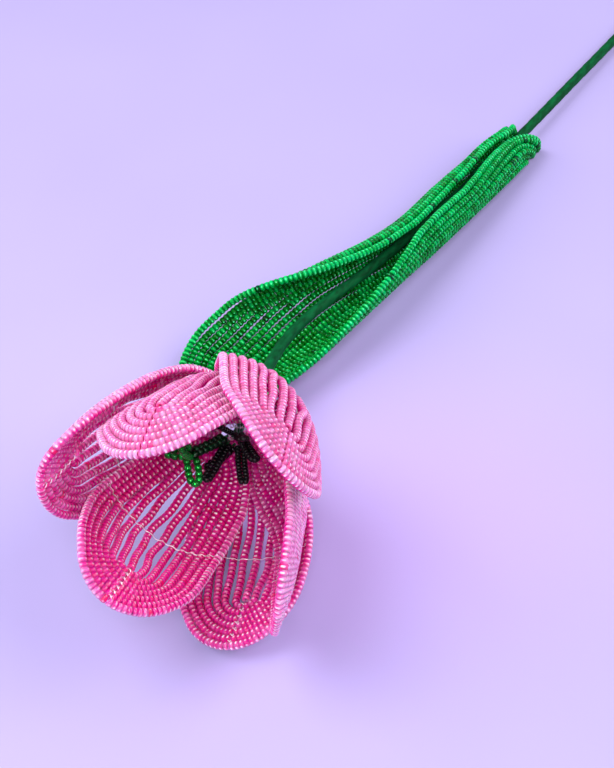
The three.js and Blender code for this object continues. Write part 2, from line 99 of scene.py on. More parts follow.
def makeActive(piece):
    deselectAll()
    piece.select_set(True)
    bpy.context.view_layer.objects.active = piece


def joinPieces(pieces, name):
    makeActive(pieces[0])
    for each in pieces[1:]:
        each.select_set(True)
    if len(pieces) > 1:
        bpy.ops.object.join()
    joined = bpy.context.view_layer.objects.active
    joined.name = name
    joined.data.name = name
    return joined


def keepPiece(piece, material, replaced=()):
    piece.data.materials.clear()
    piece.data.materials.append(material)
    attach(piece, "root")
    if replaced:
        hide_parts(*replaced)


def vertexPoints(piece):
    points = np.empty(len(piece.data.vertices) * 3)
    piece.data.vertices.foreach_get("co", points)
    return points.reshape(-1, 3)


def setVertexPoints(piece, points):
    piece.data.vertices.foreach_set("co", points.ravel())
    piece.data.update()


def setValues(piece, name, values):
    layer = piece.data.attributes.get(name) or piece.data.attributes.new(name, "FLOAT", "POINT")
    layer.data.foreach_set("value", np.asarray(values, np.float32))


# wires

closeEnough = 1e-7     # vertices nearer to each other than this, in metres, are one


def polyCurve(name, points):
    line = bpy.data.curves.new(name, "CURVE")
    line.dimensions = "3D"
    spline = line.splines.new("POLY")
    spline.points.add(len(points) - 1)
    flat = np.ones((len(points), 4))
    flat[:, :3] = points * mm
    spline.points.foreach_set("co", flat.ravel())
    piece = bpy.data.objects.new(name, line)
    bpy.context.collection.objects.link(piece)
    return piece


def wirePiece(name, points, radius, sides=4):
    # a round wire with closed ends; a bevel of resolution n has 2n + 4 sides
    piece = polyCurve(name, points)
    piece.data.bevel_depth = radius * mm
    piece.data.bevel_resolution = sides // 2 - 2
    piece.data.use_fill_caps = True
    makeActive(piece)
    bpy.ops.object.convert(target="MESH")
    made = bpy.context.view_layer.objects.active
    makeActive(made)
    bpy.ops.object.mode_set(mode="EDIT")
    bpy.ops.mesh.select_all(action="SELECT")
    bpy.ops.mesh.remove_doubles(threshold=closeEnough)
    bpy.ops.mesh.normals_make_consistent(inside=False)
    bpy.ops.object.mode_set(mode="OBJECT")
    bpy.ops.object.shade_smooth()
    return made


def coilRound(centre, normal, turns, radius, start=0.0):
    # points wound round a line; normal shows which way the coil starts
    direction = unit(np.gradient(centre, axis=0))
    side = np.cross(normal, direction)
    angle = 2 * np.pi * (turns * np.linspace(0, 1, len(centre)) + start)
    return centre + radius * (np.cos(angle)[:, None] * normal + np.sin(angle)[:, None] * side)


# beads: radius, length and hole in mm; the shoulder is the radius at both ends

petalBead = {"radius": 1.08, "length": 1.28, "hole": 0.3, "shoulder": 0.98, "sides": 10, "profile": 5}
leafBead = {"radius": 1.17, "length": 1.42, "hole": 0.3, "shoulder": 0.92, "sides": 8, "profile": 5}
stamenBead = {"radius": 0.8, "length": 1.25, "hole": 0.22, "shoulder": 0.7, "sides": 12, "profile": 7}
pistilBead = {"radius": 0.98, "length": 1.7, "hole": 0.22, "shoulder": 0.84, "sides": 14, "profile": 7}

shoulderFrom = 0.35          # a shoulder starts at this share of the length from the middle

beadPlay = {
    "length": (0.95, 1.0),   # of the room that a bead has on the wire
    "width": (0.96, 1.02),
    "tilt": 4.0,             # degrees either way
    "oddShare": 0.012,       # this share of the beads is from a deeper batch, of tone 0
}


def modelBead(bead):
    # a ring round x, drawn out to the length of the bead, with full shoulders
    deselectAll()
    wall = (bead["radius"] - bead["hole"]) / 2      # half the thickness of the glass
    reach = math.sin(2 * math.pi * round(bead["profile"] / 4) / bead["profile"])    # of its corners along x
    bpy.ops.mesh.primitive_torus_add(
        major_segments=bead["sides"], minor_segments=bead["profile"],
        major_radius=(bead["radius"] - wall) * mm, minor_radius=wall * mm,
        rotation=(0, math.pi / 2, 0))
    piece = bpy.context.active_object
    piece.name = "beadModel"
    bpy.ops.object.transform_apply(rotation=True)
    bpy.ops.object.mode_set(mode="EDIT")
    bpy.ops.mesh.select_all(action="SELECT")
    bpy.ops.transform.resize(value=(bead["length"] / (2 * wall * reach), 1, 1))
    bpy.ops.mesh.select_all(action="DESELECT")
    bpy.ops.object.mode_set(mode="OBJECT")
    points = vertexPoints(piece)
    outer = np.hypot(points[:, 1], points[:, 2]) > (bead["radius"] - wall) * mm
    shoulder = outer & (np.abs(points[:, 0]) > shoulderFrom * bead["length"] * mm)
    piece.data.vertices.foreach_set("select", shoulder)
    ring = np.hypot(points[shoulder, 1], points[shoulder, 2]).max() / mm
    bpy.ops.object.mode_set(mode="EDIT")
    bpy.ops.transform.resize(value=(1, bead["shoulder"] / ring, bead["shoulder"] / ring))
    bpy.ops.object.mode_set(mode="OBJECT")
    bpy.ops.object.shade_smooth()
    return piece


def beadStrand(template, bead, points, normals, dice, toneRange, onRim=False):
    # beads strung along a line; normals show which way the outer face of the sheet looks
    # middle is 1 half way along a bead and 0 at its ends
    # outer is 1 on the outer face of the sheet and -1 on the inner one
    # crest is 1 where a bead stands out most: on both faces, and on the rim of a sheet sideways too; the
    # painted highlight is put there
    gaps = np.linalg.norm(np.diff(points, axis=0), axis=1)
    walk = np.concatenate([[0], np.cumsum(gaps)])
    count = max(1, round(walk[-1] / bead["length"]))
    step = walk[-1] / count
    strand = template.copy()
    strand.data = template.data.copy()
    bpy.context.collection.objects.link(strand)
    makeActive(strand)
    string = strand.modifiers.new("string", "ARRAY")
    string.fit_type = "FIXED_COUNT"
    string.count = count
    string.use_relative_offset = False
    string.use_constant_offset = True
    string.constant_offset_displace = (step * mm, 0, 0)
    bpy.ops.object.modifier_apply(modifier=string.name)

    # every bead has a length, a width and a tilt of its own
    straight = vertexPoints(strand).reshape(count, -1, 3)
    centres = (np.arange(count) * step * mm)[:, None]
    middle = 1 - np.abs(straight[:, :, 0] - centres) / (bead["length"] / 2 * mm)
    setValues(strand, "middle", np.clip(middle, 0, 1).ravel())
    lengths = step / bead["length"] * dice.uniform(*beadPlay["length"], (count, 1))
    widths = dice.uniform(*beadPlay["width"], (count, 1))
    tilts = np.radians(dice.uniform(-beadPlay["tilt"], beadPlay["tilt"], (count, 1)))
    x = (straight[:, :, 0] - centres) * lengths
    y = straight[:, :, 1] * widths
    straight[:, :, 0] = x * np.cos(tilts) - y * np.sin(tilts) + centres + step / 2 * mm
    straight[:, :, 1] = x * np.sin(tilts) + y * np.cos(tilts)
    straight[:, :, 2] *= widths
    setVertexPoints(strand, straight.reshape(-1, 3))

    # the straight string is bent along the line
    path = polyCurve("path", points)
    follow = strand.modifiers.new("follow", "CURVE")
    follow.object = path
    follow.deform_axis = "POS_X"
    makeActive(strand)
    bpy.ops.object.modifier_apply(modifier=follow.name)
    bpy.data.objects.remove(path, do_unlink=True)

    # the finish reads where on its bead a point of the glass is
    bent = vertexPoints(strand).reshape(count, -1, 3) / mm
    middles = (np.arange(count) + 0.5) * step
    offsets = bent - alongLine(middles, walk, points)[:, None, :]
    facing = unit(alongLine(middles, walk, normals))
    outer = np.einsum("ijk,ik->ij", offsets, facing) / bead["radius"]
    crest = np.abs(outer)
    if onRim:
        sideways = unit(np.cross(facing, alongLine(middles, walk, np.gradient(points, axis=0))))
        edge = np.einsum("ijk,ik->ij", offsets, sideways) / bead["radius"]
        crest = np.maximum(crest, np.abs(edge))
    tones = dice.uniform(*toneRange, count)
    tones[dice.uniform(0, 1, count) < beadPlay["oddShare"]] = 0.0
    setValues(strand, "outer", np.clip(outer, -1, 1).ravel())
    setValues(strand, "crest", np.clip(crest, 0, 1).ravel())
    setValues(strand, "tone", np.repeat(tones, bent.shape[1]))
    return strand


# finishes

def newMaterial(name, color, roughness):
    material = bpy.data.materials.new(name)
    material.use_nodes = True
    shader = material.node_tree.nodes["Principled BSDF"]
    shader.inputs["Base Color"].default_value = (*color, 1)
    shader.inputs["Roughness"].default_value = roughness
    material.diffuse_color = (*color, 1)
    return material, material.node_tree.nodes, material.node_tree.links, shader


def rampNode(nodes, links, source, stops):
    node = nodes.new("ShaderNodeValToRGB")
    while len(node.color_ramp.elements) < len(stops):
        node.color_ramp.elements.new(1.0)       # each is put in its place below
    for element, (position, color) in zip(node.color_ramp.elements, stops):
        element.position = position
        element.color = (*color, 1)
    links.new(source, node.inputs[0])
    return node.outputs[0]


def attributeValue(nodes, name):
    node = nodes.new("ShaderNodeAttribute")
    node.attribute_name = name
    return node.outputs["Fac"]


def noiseValue(nodes, links, scale, detail=2.0, stretch=(1, 1, 1)):
    coordinates = nodes.new("ShaderNodeTexCoord")
    mapping = nodes.new("ShaderNodeMapping")
    mapping.inputs["Scale"].default_value = stretch
    noise = nodes.new("ShaderNodeTexNoise")
    noise.inputs["Scale"].default_value = scale
    noise.inputs["Detail"].default_value = detail
    links.new(coordinates.outputs["Object"], mapping.inputs["Vector"])
    links.new(mapping.outputs["Vector"], noise.inputs["Vector"])
    return noise.outputs["Fac"]


def mixColors(nodes, links, factor, first, second, blend="MIX"):
    # colours are either values or outputs of other nodes
    node = nodes.new("ShaderNodeMix")
    node.data_type = "RGBA"
    node.blend_type = blend
    for socket, source in ((0, factor), (6, first), (7, second)):
        if isinstance(source, bpy.types.NodeSocket):
            links.new(source, node.inputs[socket])
        else:
            node.inputs[socket].default_value = source
    return node.outputs[2]


def rangeNode(nodes, links, source, fromMin, fromMax, toMin=0.0, toMax=1.0):
    node = nodes.new("ShaderNodeMapRange")
    for name, value in (("From Min", fromMin), ("From Max", fromMax), ("To Min", toMin), ("To Max", toMax)):
        node.inputs[name].default_value = value
    links.new(source, node.inputs["Value"])
    return node.outputs[0]


def mathNode(nodes, links, operation, *sources):
    node = nodes.new("ShaderNodeMath")
    node.operation = operation
    for index, source in enumerate(sources):
        links.new(source, node.inputs[index])
    return node.outputs[0]


def addBump(nodes, links, shader, height, strength, distance):
    bump = nodes.new("ShaderNodeBump")
    bump.inputs["Strength"].default_value = strength
    bump.inputs["Distance"].default_value = distance * mm
    links.new(height, bump.inputs["Height"])
    links.new(bump.outputs["Normal"], shader.inputs["Normal"])


# glass: each face of a sheet has its shades, from the deepest tone 0 to the palest tone 1; the outer face's
# paler shades and the inner face's deeper ones are painted light on one glass
# core: the colour of the painted highlight, a bright spot on each bead's crest, on the inner face and on the
# outer one
# joint: how much light is left where two beads meet, a painted shade; paintedHighlightLeast: how much of the
# painted highlight shows in the patches where it shows least
# glow: how much light goes about inside the glass, and how far in mm, for red, green and blue

glass = {
    "petal": {
        "outside": ((0.0, (0.74, 0.04, 0.20)), (0.05, (0.62, 0.07, 0.22)),
                    (0.5, (0.72, 0.13, 0.33)), (1.0, (0.86, 0.32, 0.54))),
        "inside": ((0.0, (0.72, 0.0, 0.10)), (0.05, (0.66, 0.0, 0.13)),
                   (0.6, (0.80, 0.006, 0.21)), (1.0, (0.90, 0.12, 0.38))),
        "core": ((1.0, 0.84, 1.0), (1.0, 0.66, 0.90)),
        "joint": 0.88,
        "paintedHighlightLeast": 0.45,
        "glow": 1.0,
        "glowRadius": (3.5, 0.4, 1.8),
        "coat": 1.0,
        "coatIndex": 1.5,
    },
    "leaf": {
        "outside": ((0.0, (0.0, 0.05, 0.015)), (0.1, (0.0, 0.12, 0.015)),
                    (0.5, (0.0, 0.25, 0.04)), (1.0, (0.0, 0.42, 0.11))),
        "inside": ((0.0, (0.0, 0.04, 0.004)), (0.1, (0.0, 0.09, 0.004)),
                   (0.5, (0.0, 0.18, 0.012)), (1.0, (0.0, 0.34, 0.06))),
        "core": ((0.08, 0.86, 0.34), (0.08, 0.86, 0.38)),
        "joint": 0.28,
        "paintedHighlightLeast": 0.7,
        "glow": 0.8,
        "glowRadius": (0.2, 1.6, 0.5),
        "coat": 0.4,
        "coatIndex": 1.3,
    },
}

glassMakeup = {
    "roughness": 0.25,
    "coatRoughness": 0.03,
    "specular": 0.02,
    "faces": (-0.3, 0.4),        # over this range of outer the inner face turns into the outer one
    "joints": (0.0, 0.5),        # over this range of middle the painted shade at a bead's joint fades
    "highlightCrest": (0.86, 0.98),   # the painted highlight shows where crest
    "highlightMiddle": (0.45, 0.8),   # and middle rise through these ranges
    "highlightPatchScale": 55,            # it shows more in some patches of a sheet than in others
    "highlightPatches": (0.4, 0.58),
}


def beadMaterial(name, finish):
    # the two faces of a sheet are one glass with painted light: pearly and paler outside as if lit, deep and
    # clear inside as painted shade
    # a painted highlight puts a bright spot on the crest of every bead, and painted shade makes the joints
    # darker
    middleShade = finish["outside"][2][1]
    material, nodes, links, shader = newMaterial(name, middleShade, glassMakeup["roughness"])
    tone = attributeValue(nodes, "tone")
    outer = attributeValue(nodes, "outer")
    middle = attributeValue(nodes, "middle")
    # painted light: face mixes the deep, shaded inside shades with the pale, lit outside shades
    face = rangeNode(nodes, links, outer, *glassMakeup["faces"])
    body = mixColors(nodes, links, face, rampNode(nodes, links, tone, finish["inside"]),
                     rampNode(nodes, links, tone, finish["outside"]))
    # painted shade: each bead is darker towards its joints with its neighbours
    jointShade = rangeNode(nodes, links, middle, *glassMakeup["joints"], finish["joint"], 1.0)
    body = mixColors(nodes, links, 1.0, body, jointShade, "MULTIPLY")
    highlightInside, highlightOutside = finish["core"]
    core = mixColors(nodes, links, face, (*highlightInside, 1), (*highlightOutside, 1))
    # painted highlight: a bright spot where a bead's crest and middle are both high, stronger in some patches
    # of a sheet than in others
    crest = rangeNode(nodes, links, attributeValue(nodes, "crest"), *glassMakeup["highlightCrest"])
    paintedHighlight = mathNode(nodes, links, "MULTIPLY", crest,
                    rangeNode(nodes, links, middle, *glassMakeup["highlightMiddle"]))
    clouds = noiseValue(nodes, links, glassMakeup["highlightPatchScale"])
    highlightPatches = rangeNode(nodes, links, clouds, *glassMakeup["highlightPatches"], finish["paintedHighlightLeast"], 1.0)
    paintedHighlight = mathNode(nodes, links, "MULTIPLY", paintedHighlight, highlightPatches)
    links.new(mixColors(nodes, links, paintedHighlight, body, core), shader.inputs["Base Color"])
    # the painted highlight gets no subsurface light, so it stays white
    glow = rangeNode(nodes, links, paintedHighlight, 0.0, 1.0, finish["glow"], 0.0)   # the spot stays white
    links.new(glow, shader.inputs["Subsurface Weight"])
    shader.inputs["Subsurface Radius"].default_value = finish["glowRadius"]
    shader.inputs["Subsurface Scale"].default_value = mm
    shader.inputs["Coat Weight"].default_value = finish["coat"]
    shader.inputs["Coat Roughness"].default_value = glassMakeup["coatRoughness"]
    shader.inputs["Coat IOR"].default_value = finish["coatIndex"]
    shader.inputs["Specular IOR Level"].default_value = glassMakeup["specular"]
    return material


plainGlasses = {
    "black_beads": {
        "shades": ((0.0, (0.001, 0.001, 0.0015)), (1.0, (0.003, 0.003, 0.004))),
        "roughness": 0.3,
        "metallic": 0.0,
    },
    "silver_lined_green_beads": {
        "shades": ((0.0, (0.0, 0.015, 0.004)), (0.4, (0.0, 0.05, 0.012)),
                   (0.6, (0.0, 0.25, 0.02)), (1.0, (0.0, 0.45, 0.05))),
        "roughness": 0.2,
        "metallic": 0.75,        # the silver behind the glass
    },
}

plainMakeup = {
    "specular": 0.05,
    "coat": 0.5,
    "coatRoughness": 0.05,
    "ripples": {"scale": 900, "strength": 0.06, "distance": 0.1},
}


def plainGlass(name):
    # glass that looks the same all round, with a shade of its own for every bead
    finish = plainGlasses[name]
    material, nodes, links, shader = newMaterial(name, finish["shades"][0][1], finish["roughness"])
    shade = rampNode(nodes, links, attributeValue(nodes, "tone"), finish["shades"])
    links.new(shade, shader.inputs["Base Color"])
    shader.inputs["Metallic"].default_value = finish["metallic"]
    shader.inputs["Specular IOR Level"].default_value = plainMakeup["specular"]
    shader.inputs["Coat Weight"].default_value = plainMakeup["coat"]
    shader.inputs["Coat Roughness"].default_value = plainMakeup["coatRoughness"]
    ripples = plainMakeup["ripples"]
    height = noiseValue(nodes, links, ripples["scale"])
    addBump(nodes, links, shader, height, ripples["strength"], ripples["distance"])
    return material


tapeMakeup = {
    "color": (0.0, 0.08, 0.025),
    "shades": ((0.3, (0.0, 0.032, 0.009)), (0.7, (0.0, 0.096, 0.026))),
    "roughness": 0.65,
    "specular": 0.1,
    "crepe": {"scale": 700, "detail": 6.0, "stretch": (0.35, 1, 1), "strength": 0.5, "distance": 0.3},
}


def tapeMaterial():
    # waxed crepe paper, stretched as it is wound
    material, nodes, links, shader = newMaterial("floral_tape", tapeMakeup["color"], tapeMakeup["roughness"])
    crepe = tapeMakeup["crepe"]
    height = noiseValue(nodes, links, crepe["scale"], crepe["detail"], crepe["stretch"])
    links.new(rampNode(nodes, links, height, tapeMakeup["shades"]), shader.inputs["Base Color"])
    shader.inputs["Specular IOR Level"].default_value = tapeMakeup["specular"]
    addBump(nodes, links, shader, height, crepe["strength"], crepe["distance"])
    return material


wireMakeup = {
    "silver_wire": {"color": (0.98, 0.86, 0.94), "roughness": 0.34, "metallic": 0.88},
    "green_wire": {"color": (0.0, 0.06, 0.015), "roughness": 0.35, "metallic": 0.4},
    "stem_wire": {"color": (0.55, 0.56, 0.57), "roughness": 0.35, "metallic": 1.0},
}

wireWear = {"scale": 1500, "smoother": 0.08, "rougher": 0.12}


def wireMaterial(name):
    # drawn wire, in some places a little smoother and in others a little rougher
    finish = wireMakeup[name]
    roughness = finish["roughness"]
    material, nodes, links, shader = newMaterial(name, finish["color"], roughness)
    shader.inputs["Metallic"].default_value = finish["metallic"]
    wear = noiseValue(nodes, links, wireWear["scale"])
    worn = rangeNode(nodes, links, wear, 0.0, 1.0,
                     roughness - wireWear["smoother"], roughness + wireWear["rougher"])
    links.new(worn, shader.inputs["Roughness"])
    return material


petalGlass = beadMaterial("pink_beads", glass["petal"])
leafGlass = beadMaterial("green_beads", glass["leaf"])
blackGlass = plainGlass("black_beads")
pistilGlass = plainGlass("silver_lined_green_beads")
floralTape = tapeMaterial()
silverWire = wireMaterial("silver_wire")
greenWire = wireMaterial("green_wire")
steelWire = wireMaterial("stem_wire")
print("finishes made")


# beaded sheets: a flat pattern of rows, which a place function puts in space

stringing = {
    "basicPoints": 60,    # along the line that the basic row is strung on
    "loopPoints": 160,    # and along half a loop
    "gap": 0.2,           # from the basic wire to the first bead of a loop
    "floorGap": 0.1,      # the lowest beads stay this far above the floor
}

sheetWires = {
    "lacing": 0.08,       # radius of the wire across the rows
    "basic": 0.1,         # and of the wire in the middle row
    "wraps": 0.14,        # and of the wire wound round that
    "coilRadius": 0.48,
    "coilLift": 0.62,     # towards the inner face
    "coilFrom": 0.4,      # it is wound from so many rows beyond the basic row
    "coilPast": 0.15,     # to so many rows past the outermost one
    "turnsPerRow": 1.0,
    "pointsPerTurn": 9,
    "basicThinning": 4,   # the wire in the middle row has one point for so many of the coil
}

lacingRun = {
    "past": 0.1,          # it goes so many rows past the outermost one
    "pointsPerRow": 16,
    "sway": 0.12,         # to both sides from row to row
    "rise": 0.5,          # on a row its middle is this share of its radius above the beads
    "dip": 0.4,           # between two rows it dips by this share of the height of the beads
    "back": 2.4,          # the way back is so many of its radii nearer to the sheet
}

rightOfMiddle = 1e-6      # across: as good as on the middle line, and clearly on one side of it
normalStep = 0.05         # half of the step that a normal is measured over
smallestRadius = 1e-9     # of a loop, so that nothing is divided by nought


def measureSheet(sheet):
    reach = sheet["loops"] * sheet["pitch"]
    sheet["firstBead"] = reach * sheet["baseStretch"] + sheet["edge"]
    sheet["tipStart"] = sheet["firstBead"] + sheet["basicRow"]
    sheet["length"] = sheet["tipStart"] + reach * sheet["tipStretch"] + sheet["edge"]


def rowPoint(sheet, row, turn):
    # turn is -1 and 1 at the base end of the sheet and 0 at its tip
    # half a loop is a quarter circle from the tip, a straight side and a quarter circle to the base
    # returns along and across, and how much the rows crowd there
    radius = max(sheet["pitch"] * row, smallestRadius)
    quarter = math.pi / 2 * radius
    straight = sheet["basicRow"] - radius * (1 - sheet["baseStretch"])
    walked = np.abs(turn) * (2 * quarter + straight)
    tipAngle = walked / radius
    baseAngle = np.clip((walked - quarter - straight) / radius, 0, math.pi / 2)
    onTip = walked < quarter
    onSide = walked < quarter + straight
    along = np.where(
        onTip, sheet["tipStart"] + radius * sheet["tipStretch"] * np.cos(tipAngle),
        np.where(onSide, sheet["tipStart"] - (walked - quarter),
                 sheet["tipStart"] - straight - radius * np.sin(baseAngle)))
    across = np.where(onTip, radius * np.sin(tipAngle), np.where(onSide, radius, radius * np.cos(baseAngle)))
    across = across + sheet["spreadOf"](row) * sheet["swellAt"](along) * across / radius
    crowd = sheet["crowdAt"](along, np.sin(baseAngle) * (1 - sheet["baseStretch"]))
    return along, across * np.sign(turn), crowd


def rowWander(sheet, row, along, dice):
    # a row that is shaped by hand strays a little in the room that it has
    room = sheet["spreadOf"](max(row, 1)) - sheet["spreadOf"](max(row, 1) - 1)
    stray = 0.0
    for waves in sheet["waves"]:
        height = dice.uniform(-1, 1)
        start = dice.uniform(0, 1)
        stray = stray + height * np.sin(2 * np.pi * (waves * along / sheet["length"] + start))
    return sheet["wander"] * room * stray * sheet["swellAt"](along)


def faceNormals(sheet, along, across):
    # the way that the outer face of the sheet looks
    place = sheet["place"]
    lengthwise = place(along + normalStep, across) - place(along - normalStep, across)
    crosswise = place(along, across + normalStep) - place(along, across - normalStep)
    return sheet["outward"] * unit(np.cross(lengthwise, crosswise))


def rowStrands(sheet, bead, dice):
    # the basic row, then both halves of every loop; the outermost row is painted paler than the others, as
    # light that reaches the rim from both faces
    template = modelBead(bead)
    lowest = bead["radius"] * beadPlay["width"][1] + stringing["floorGap"]
    along = np.linspace(sheet["firstBead"], sheet["tipStart"], stringing["basicPoints"])
    across = np.full(len(along), rightOfMiddle)
    points = sheet["place"](along, across + rowWander(sheet, 0, along, dice))
    strands = [beadStrand(template, bead, points, faceNormals(sheet, along, across), dice, sheet["tones"])]
    for row in range(1, sheet["loops"] + 1):
        halfLoop = math.pi * sheet["pitch"] * row + sheet["basicRow"]
        gap = stringing["gap"] / halfLoop
        turns = np.linspace(gap, 1 - gap, stringing["loopPoints"])
        onRim = row == sheet["loops"]
        # painted light: the rim row takes paler tones than the other rows
        tones = sheet["paintedLightRimTones"] if onRim else sheet["tones"]
        for side in (-1, 1):
            along, across, crowd = rowPoint(sheet, row, side * turns)
            across = across * (1 - sheet["drawIn"](row, side, along))
            across = across + rowWander(sheet, row, along, dice) * np.abs(across) / (sheet["pitch"] * row)
            normals = faceNormals(sheet, along, across)
            bunched = sheet["bunch"] * (-1) ** row * crowd
            points = sheet["place"](along, across) + normals * bunched[:, None]
            points[:, 2] = np.maximum(points[:, 2], lowest)
            strands.append(beadStrand(template, bead, points, normals, dice, tones, onRim))
    bpy.data.objects.remove(template, do_unlink=True)
    return strands


def middleWires(sheet):
    # at both ends of the sheet the wire of the loops is wound round the basic wire, on the inner face
    turns = sheetWires["turnsPerRow"] * sheet["loops"]
    tipStep = sheet["pitch"] * sheet["tipStretch"]
    pieces = []
    for start, step in ((sheet["tipStart"], tipStep), (sheet["firstBead"], -sheet["pitch"])):
        first = start + step * sheetWires["coilFrom"]
        last = start + step * (sheet["loops"] + sheetWires["coilPast"])
        along = np.linspace(first, last, round(sheetWires["pointsPerTurn"] * turns))
        across = np.full(len(along), rightOfMiddle)
        normals = faceNormals(sheet, along, across)
        basic = sheet["place"](along, across)
        basicWire = wirePiece("basicWire", basic[::sheetWires["basicThinning"]], sheetWires["basic"])
        centre = basic - normals * sheetWires["coilLift"]
        coil = coilRound(centre, normals, turns, sheetWires["coilRadius"])
        pieces += [basicWire, wirePiece("wraps", coil, sheetWires["wraps"])]
    return pieces


def lacingWire(sheet, bead):
    # a fine wire over every row on the inner face, which comes back between the beads
    radius = sheetWires["lacing"]
    reach = sheet["loops"] + lacingRun["past"]
    rows = np.linspace(-reach, reach, lacingRun["pointsPerRow"] * sheet["loops"] + 1)
    swell = float(sheet["swellAt"](np.array(float(sheet["lacing"]))))
    spread = np.array([sheet["spreadOf"](abs(row)) for row in rows]) * swell
    across = rows * sheet["pitch"] + spread * np.sign(rows)
    along = sheet["lacing"] + lacingRun["sway"] * np.sin(np.pi * rows)
    normals = faceNormals(sheet, along, across)
    crest = bead["radius"] + radius * lacingRun["rise"]
    lift = crest * (1 - lacingRun["dip"] * (1 - np.cos(2 * np.pi * rows)) / 2)
    over = sheet["place"](along, across) - normals * lift[:, None]
    back = (over + normals * lacingRun["back"] * radius)[::-1]
    return wirePiece("lacing", np.concatenate([over, back, over[:1]]), radius)


def makeSheet(name, sheet, bead, material, wire):
    # a petal or the leaf: all its beads are one piece, and its wires another
    dice = np.random.default_rng(sheet["seed"])
    beads = joinPieces(rowStrands(sheet, bead, dice), name + "_beads")
    keepPiece(beads, material, (name,))
    wirework = middleWires(sheet)
    wirework.append(lacingWire(sheet, bead))
    keepPiece(joinPieces(wirework, name + "_wires"), wire)


# petals
# turn: where the petal stands round the axis, 0 on top; out, ahead: where its base is
# roll, lean: how its middle line is turned about itself, and how far it bends sideways
# slopes: how far it slopes away from the axis, base to tip
# curlLeft, curlRight: how far each half turns up from its middle row to its rim, base to tip
# tones: the shades of its beads, from deep 0 to pale 1, drawn at random for each bead; the range differs from
# petal to petal as painted light, paler for a petal that looks more lit; lacing: how far up the wire across
# the rows lies

petalPattern = {
    "loops": 7,
    "pitch": 2.2,         # from row to row
    "basicRow": 42.2,
    "baseStretch": 0.4,   # at the base the loops lie close together
    "tipStretch": 1.0,
    "edge": 1.1,          # from the outermost row to the edge
    "swell": 3.6,         # how far the loops spread apart in the middle
    "swellRows": 2.6,     # the inner rows spread most
    "swellFrom": 3,       # they spread from here, beyond the first bead of the basic row,
    "swellPast": 8,       # to here, beyond the last one
    "halfWidth": 16.5,    # the curls are given over this width
    "bunch": 1.2,         # where the rows crowd, every other one stands out of the sheet
    "wander": 0.28,       # how far a row strays, as a share of the room that it has
    "waves": (1.5, 3, 5),
    "outward": -1,        # the outer face looks against the normal
    "paintedLightRimTones": (0.5, 0.85),
    "seed": 11,           # of the first petal
}

petals = {
    "petal_inner_1": {
        "turn": -15, "out": 3.1, "ahead": 2.9, "roll": -7, "lean": -1, "lacing": 36,
        "tones": (0.2, 0.7),
        "slopes": (87, 68, 24, 23, -4, -10), "curlLeft": (74, 53, 31, 14), "curlRight": (58, 44, 27, 24),
    },
    "petal_inner_2": {
        "turn": 108, "out": 3.4, "ahead": 3.8, "roll": -14, "lean": 15, "lacing": 36,
        "tones": (0.4, 0.9),
        "slopes": (66, 54, 10, 5, -3, -2), "curlLeft": (58, 28, 19, 10), "curlRight": (66, 36, 17, 9),
    },
    "petal_inner_3": {
        "turn": 221, "out": 2.5, "ahead": 4.6, "roll": -3, "lean": -14, "lacing": 33,
        "tones": (0.1, 0.65),
        "slopes": (57, 35, 16, -20, -15, -12), "curlLeft": (78, 45, 25, 34), "curlRight": (64, 59, 47, 32),
    },
    "petal_outer_1": {
        "turn": 33, "out": 3.1, "ahead": 0.6, "roll": 14, "lean": -1, "lacing": 36,
        "tones": (0.1, 0.6),
        "slopes": (92, 69, 38, 13, 14, 8), "curlLeft": (43, 42, 33, 17), "curlRight": (68, 42, 30, 7),
    },
    "petal_outer_2": {
        "turn": 163, "out": 3.1, "ahead": -1.6, "roll": -4, "lean": 1, "lacing": 37,
        "tones": (0.2, 0.75),
        "slopes": (90, 71, 33, 8, -1, -2), "curlLeft": (58, 49, 41, 32), "curlRight": (64, 44, 31, 22),
    },
    "petal_outer_3": {
        "turn": 285, "out": 3.1, "ahead": -1.2, "roll": -18, "lean": -8, "lacing": 36,
        # painted light: paler tones for the light that passes through this petal from behind
        "tones": (0.5, 0.95),
        "slopes": (91, 58, 30, 17, 9, 14), "curlLeft": (53, 53, 53, 52), "curlRight": (66, 45, 31, 26),
    },
}

slopeStations = (0, 0.2, 0.42, 0.65, 0.85, 1)
curlStations = (0, 0.35, 0.7, 1)
spineSteps = 66       # the middle line of a petal is followed in so many steps
beyondEnds = 0.02     # slopes and curls go on past both ends by this share of the length
smallestBend = 1e-4   # in radians per mm; a flatter strip is bent by this much


def petalSpread(row):
    return petalPattern["swell"] * (1 - math.exp(-row / petalPattern["swellRows"]))


def petalSwell(along):
    start = petalPattern["firstBead"] + petalPattern["swellFrom"]
    end = petalPattern["tipStart"] + petalPattern["swellPast"]
    return np.sin(np.pi * np.clip((along - start) / (end - start), 0, 1))


petalPattern["spreadOf"] = petalSpread
petalPattern["swellAt"] = petalSwell
petalPattern["crowdAt"] = lambda along, baseCrowd: baseCrowd
petalPattern["drawIn"] = lambda row, side, along: 0.0
measureSheet(petalPattern)


def curled(bend, across, roll):
    # a flat strip curled by the same bend per mm, and then rolled; returns sideways and up
    bend = np.where(np.abs(bend) < smallestBend, smallestBend, bend)
    angle = bend * np.abs(across)
    side = np.sin(angle) / bend * np.sign(across)
    up = (1 - np.cos(angle)) / bend
    return side * np.cos(roll) - up * np.sin(roll), side * np.sin(roll) + up * np.cos(roll)


